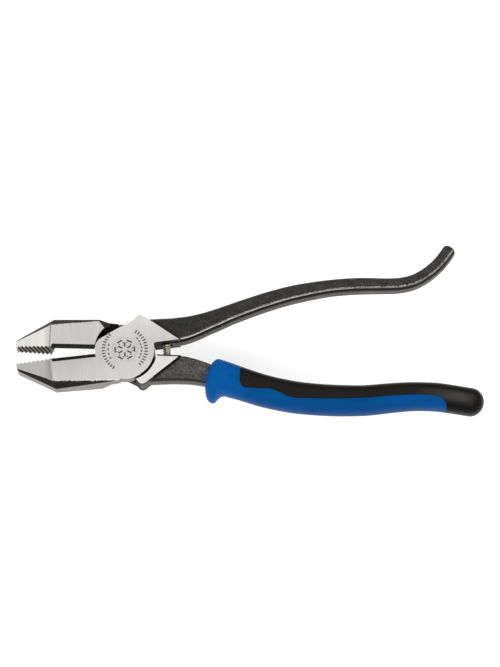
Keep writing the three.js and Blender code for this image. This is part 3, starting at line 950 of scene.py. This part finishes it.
def bars(rows):
    """Shallow bars in both boss faces: rows of (length, width, x, y, turn), none touching another."""
    bm = bmesh.new()
    for z in (0, THICKNESS):
        for length, width, x, y, turn in rows:
            size = Matrix.Diagonal((length, width, 2 * STAMP_DEPTH, 1))
            at = Matrix.Translation((x, y, z)) @ Matrix.Rotation(turn, 4, "Z") @ size
            bmesh.ops.create_cube(bm, size=1, matrix=at)
    return object_of(bm, [STAMP])


def ring_of(radius, start, end, count, length, width, across=False):
    """Bars spaced along an arc, angles in degrees: pointing outwards, or lying along the arc."""
    rows = []
    for i in range(count):
        a = math.radians(start + (end - start) * i / (count - 1))
        turn = a + (math.pi / 2 if across else 0)
        rows.append((length, width, radius * math.cos(a), radius * math.sin(a), turn))
    return rows


def stamps():
    """Generic stamped marks: plain ticks and dashes in arcs, with no lettering."""
    rows = ring_of(10.9, 128, 232, 14, 1.7, STAMP_WIDTH)
    rows += ring_of(10.9, -52, 52, 14, 1.7, STAMP_WIDTH)
    rows += ring_of(8.5, -36, 36, 7, 1.1, STAMP_WIDTH, across=True)
    rows += ring_of(8.5, 156, 204, 4, 1.1, STAMP_WIDTH, across=True)
    return bars(rows)


def forging(hooked):
    """One half, one piece of steel: what is ground into the jaw is cut before the boss is joined to it."""
    half = combine(jaw(hooked), [knife_cutter(behind=not hooked)], "DIFFERENCE")
    tooth = TOOTH_FRONT if hooked else TOOTH_REAR
    knurl = [groove_cutter(math.radians(lean), *sizes, tooth) for lean, *sizes in KNURL]
    half = combine(half, knurl + nose_lines(), "DIFFERENCE")
    half = combine(half, [boss(hooked), shoulder(hooked), handle(hooked), step_down()], "UNION")
    # the faces cut by the chamfer, the lap room, the rivet seat and the spring's pocket take the near-black
    # painted shade
    if not hooked:
        half = combine(half, chamfer_cutters(), "DIFFERENCE")
    rivet_seat = object_of(disc(RIVET_HEAD_R, -PAST, THICKNESS + PAST), [LAP_PAINTED_SHADE])
    return combine(half, lap_cutters(hooked) + [rivet_seat, stamps(), pocket()], "DIFFERENCE")


def pocket():
    """The blind hole that the spring sits in."""
    reach = 2 * PAST
    bm = disc(SPRING_POCKET_R, 0, SPRING_POCKET_DEPTH + reach, 48)
    mouth = Matrix.Translation((SPRING_X, HANDLE_INNER_Y - reach, MIDDLE))
    bm.transform(mouth @ Matrix.Rotation(-math.pi / 2, 4, "X"))
    return object_of(bm, [LAP_PAINTED_SHADE])


# ---------------------------------------------------------------- the grip

GRIP_LINE = [(53.5, 12.1), (60.7, 14.1), (72, 17.2), (84.8, 19.5), (97, 20.5), (110, 20.7), (123, 20.1)]
GRIP_LINE += [(135, 18.5), (146.8, 17.2), (158.5, 17), (167, 17.8), (176.5, 19)]
GRIP_WIDTH = [(53.5, 17), (60.7, 16.3), (84.8, 16.1), (97, 15.8), (110, 15.6), (135, 14.9), (150, 14.3)]
GRIP_WIDTH += [(176.5, 14.2)]
GRIP_THICK = [(53.5, 19.4), (62, 18.2), (110, 18.8), (150, 18), (176.5, 17.4)]
GRIP_POWER = 2.4
# across the collar: x, inner y, outer y and thickness
COLLAR = [
    (41.6, 11.4, 17.4, 13.4),
    (42.2, 8.8, 20.2, 16.6),
    (43.4, 5, 22.6, 19.6),
    (45, 2.6, 23.9, 21.4),
    (46.8, 1.7, 24.1, 22),
    (48.6, 2, 22.8, 21.4),
    (50.4, 2.6, 21.2, 20.4),
]
# where the hard core's bare side meets the soft cover
PARTING = [
    (59.9, 16.5), (61.9, 17.5), (67.6, 17.8), (74, 17.8), (78.8, 19.2), (83.4, 21.3), (88, 22.1),
    (96.4, 22), (110, 21.6), (123.5, 20.6), (135, 19.1), (146.7, 18.1), (155.5, 18), (161.2, 19.2),
    (163.9, 22.1), (164.6, 26),
]
GRIP_EASE = 0.05  # how far the grip's surface lies inside its lines
COVER_WALL = 0.9
SEAM = 0.14  # open groove along the parting line
CORE_GAP = 0.05  # between the cover and the core under it
TANG_GAP = 0.12  # between the core and the steel


def grip_stations():
    """Sections of the whole grip, from the collar's mouth to the rounded end."""
    collar = [
        (x, (inner + outer) / 2, max(0.06, 0.05 * (i - 3)), outer - inner, thick)
        for i, (x, inner, outer, thick) in enumerate(COLLAR)
    ]
    body = stations_along(GRIP_LINE, GRIP_WIDTH, GRIP_THICK, 34)
    coarse = collar + body
    smooth = [tuple(value) for value, _ in spline(coarse, 190)]
    return rounded_end(grown(smooth, -GRIP_EASE), 6.85, 18, 0.99)


def core_side(offset):
    """The parting line between the hard core's bare side and the soft cover, as a prism to cut with."""
    line = [(59 - offset, 14.4 + offset)]
    line += [(x - offset, y) if x > 158 else (x, y + offset) for x, y in PARTING]
    smooth = [tuple(value) for value, _ in spline(line, 90)]
    outline = [(59 - offset, -10), *smooth, (164.6 - offset, 40), (200, 40), (200, -10)]
    return object_of(prism(outline, -10, THICKNESS + 10), [HARD_BLACK])


def grip():
    """The hard core, with the tang's room in it, and the soft cover round its outer side."""
    stations = grip_stations()
    steel = grown(handle_stations(False), TANG_GAP)
    inner = [s for s in grown(stations, -COVER_WALL) if 44.5 < s[0] < 176]

    def whole(material):
        return object_of(loft(stations, GRIP_POWER, 72), [material])

    def core_body(extra):
        return object_of(loft(grown(inner, extra), GRIP_POWER, 64), [HARD_BLACK])

    def steel_room(material):
        return object_of(loft(steel, STEEL_POWER, 40), [material])

    core = combine(whole(HARD_BLACK), [core_side(0)], "INTERSECT")
    core = combine(core, [core_body(0)], "UNION")
    core = combine(core, [steel_room(HARD_BLACK)], "DIFFERENCE")
    taken = [core_side(SEAM), core_body(CORE_GAP), steel_room(SOFT_BLUE)]
    cover = combine(whole(SOFT_BLUE), taken, "DIFFERENCE")
    return core, cover


# ---------------------------------------------------------------- rivet and spring


def rivet():
    """The rivet as a straight pin of its heads' width, ground flush and marked at both ends."""
    bm = disc(RIVET_HEAD_R - RIVET_HAIRLINE, 0, THICKNESS, 96)
    round_edges(bm, 0.06, sharpest=60)
    body = object_of(bm, [FRONT_GROUND])
    rows = ring_of(4.9, 0, 300, 6, 2.9, 0.75, across=True)
    rows += ring_of(2.6, 30, 330, 6, 2.3, 0.75)
    rows += ring_of(3.9, 10, 350, 12, 0.8, 0.45)
    return combine(body, [bars(rows)], "DIFFERENCE")


SPRING_WIRE_R = 0.4
SPRING_COIL_R = 1.6
DEAD_TURNS = 1.5  # closed turns at each end
DEAD_PITCH = 2.1 * SPRING_WIRE_R
ACTIVE_TURNS = 14


def spring():
    """A helix of wire from pocket floor to pocket floor, its end turns closed."""
    centre = (spring_low + spring_high) / 2 / MM
    length = (spring_high.y - spring_low.y) / MM - 2 * SPRING_WIRE_R
    active_pitch = (length - 2 * DEAD_TURNS * DEAD_PITCH) / ACTIVE_TURNS
    turns = 2 * DEAD_TURNS + ACTIVE_TURNS
    per_turn = 28
    sides = 10
    bm = bmesh.new()
    rings = []
    steps = int(turns * per_turn)
    for i in range(steps + 1):
        turn = turns * i / steps
        a = 2 * math.pi * turn
        y = -length / 2
        y += DEAD_PITCH * min(turn, DEAD_TURNS)
        y += active_pitch * min(max(turn - DEAD_TURNS, 0), ACTIVE_TURNS)
        y += DEAD_PITCH * max(turn - DEAD_TURNS - ACTIVE_TURNS, 0)
        radial = Vector((math.cos(a), 0, math.sin(a)))
        at = Vector((centre.x, y, centre.z)) + radial * SPRING_COIL_R
        ring = []
        for k in range(sides):
            b = 2 * math.pi * k / sides
            out = radial * math.cos(b) + Vector((0, math.sin(b), 0))
            ring.append(bm.verts.new(at + out * SPRING_WIRE_R))
        rings.append(ring)
    for near, far in zip(rings, rings[1:]):
        for k in range(sides):
            m = (k + 1) % sides
            bm.faces.new((near[k], near[m], far[m], far[k]))
    bm.faces.new(rings[0])
    bm.faces.new(rings[-1])
    return object_of(bm, [WIRE], "spring_coil")


# ---------------------------------------------------------------- placing

TURNED_OVER = Matrix.Translation((0, 0, THICKNESS)) @ Matrix.Rotation(math.pi, 4, "X")
FRONT_REST = Matrix.Scale(MM, 4) @ Matrix.Rotation(REST_OPENING / 2, 4, "Z")
REAR_REST = Matrix.Scale(MM, 4) @ Matrix.Rotation(-REST_OPENING / 2, 4, "Z") @ TURNED_OVER
SHARP_FROM = math.radians(32)  # edges sharper than this aren't shaded smooth


def placed(obj, name, matrix, body, node):
    """Puts a shaped piece in the row frame, in metres, riding on its body in its CAD node's stead."""
    obj.name = name
    obj.data.name = name
    obj.data.transform(matrix)
    for polygon in obj.data.polygons:
        polygon.use_smooth = True
    obj.data.set_sharp_from_angle(angle=SHARP_FROM)
    weighted = obj.modifiers.new("face_weighted", "WEIGHTED_NORMAL")
    weighted.keep_sharp = True
    weighted.weight = 60
    if body:
        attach(obj, body)
    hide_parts(node)
    return obj


placed(
    forging(True), "front_forging", FRONT_REST, "front_body", "front_half_with_hook_handle"
)
placed(forging(False), "rear_forging", REAR_REST, "rear_body", "rear_half_with_grip_tang")
grip_core, grip_cover = grip()
placed(grip_core, "grip_core", REAR_REST, "rear_body", "grip_hard_core")
placed(grip_cover, "grip_cover", REAR_REST, "rear_body", "grip_soft_cover")
placed(rivet(), "rivet", Matrix.Scale(MM, 4), "rear_body", "pivot_rivet")
coil = placed(spring(), "spring_coil", Matrix.Scale(MM, 4), None, "return_spring")
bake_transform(coil)

# ---------------------------------------------------------------- floor, light and camera

FLOOR_DROP = 0.02  # clear of the tool, so that the shadow is faint


def floor():
    """A pale floor without marks."""
    bm = bmesh.new()
    bmesh.ops.create_grid(bm, x_segments=1, y_segments=1, size=4)
    made = object_of(bm, [], "floor")
    made.location.z = cad_low.z - FLOOR_DROP
    s = Shader("floor", Roughness=0.9)
    tooth = s.noise(s.place(), 1.5, detail=3)
    s.set(Base_Color=s.mix(tooth, (0.88, 0.88, 0.885, 1), (0.9, 0.9, 0.9, 1)))
    made.data.materials.append(s.material)


def area_light(name, size, power, place, aim):
    data = bpy.data.lights.new(name, "AREA")
    data.shape = "RECTANGLE"
    data.size, data.size_y = size
    data.energy = power
    made = bpy.data.objects.new(name, data)
    bpy.context.scene.collection.objects.link(made)
    made.location = place
    made.rotation_mode = "QUATERNION"
    made.rotation_quaternion = (Vector(aim) - Vector(place)).to_track_quat("-Z", "Y")


def surroundings():
    """Pale studio: bright overhead, dimmer towards the horizon, dimmest in front where the room is open."""
    world = bpy.data.worlds.new("studio")
    bpy.context.scene.world = world
    world.use_nodes = True
    tree = world.node_tree
    sky = tree.nodes["Background"]

    def between(value, *limits):
        made = tree.nodes.new("ShaderNodeMapRange")
        for socket, limit in zip(("From Min", "From Max", "To Min", "To Max"), limits):
            made.inputs[socket].default_value = limit
        tree.links.new(value, made.inputs["Value"])
        return made.outputs[0]

    where = tree.nodes.new("ShaderNodeTexCoord")
    split = tree.nodes.new("ShaderNodeSeparateXYZ")
    tree.links.new(where.outputs["Generated"], split.inputs[0])
    ring = between(split.outputs[2], 0.0, 0.4, 0.35, 1.5)
    top = between(split.outputs[2], 0.78, 0.93, 0.0, -0.5)
    both = tree.nodes.new("ShaderNodeMath")
    both.operation = "ADD"
    tree.links.new(ring, both.inputs[0])
    tree.links.new(top, both.inputs[1])
    tree.links.new(both.outputs[0], sky.inputs["Strength"])
    sky.inputs["Color"].default_value = (1.0, 0.995, 0.985, 1)


CAMERA_AZIMUTH = math.radians(-2.5)
CAMERA_ELEVATION = math.radians(75.4)
CAMERA_DISTANCE = 1.8
FRAME_HEIGHT = 0.3392  # what the picture's height spans at the tool
AIM = Vector((0.0639, 0.0056, THICKNESS * MM))


def camera():
    data = bpy.data.cameras.new("camera")
    data.lens = data.sensor_width * CAMERA_DISTANCE / FRAME_HEIGHT
    data.clip_start = 0.05
    data.clip_end = 20
    made = bpy.data.objects.new("camera", data)
    bpy.context.scene.collection.objects.link(made)
    back = Vector(
        (
            math.sin(CAMERA_AZIMUTH) * math.cos(CAMERA_ELEVATION),
            -math.cos(CAMERA_AZIMUTH) * math.cos(CAMERA_ELEVATION),
            math.sin(CAMERA_ELEVATION),
        )
    )
    made.location = AIM + back * CAMERA_DISTANCE
    made.rotation_mode = "QUATERNION"
    made.rotation_quaternion = (-back).to_track_quat("-Z", "Y")
    bpy.context.scene.camera = made


surroundings()
floor()
area_light("front_softbox", (2.6, 1.6), 36, (0.1, -1.7, 2.5), (0.06, 0, 0))
area_light("left_softbox", (1.4, 1.4), 16, (-2.2, 0.2, 1.8), (0.06, 0, 0))
area_light("right_softbox", (1.4, 1.4), 16, (2.3, 0.2, 1.8), (0.06, 0, 0))
camera()
bpy.context.scene.view_settings.view_transform = "Standard"
bpy.context.scene.view_settings.look = "None"
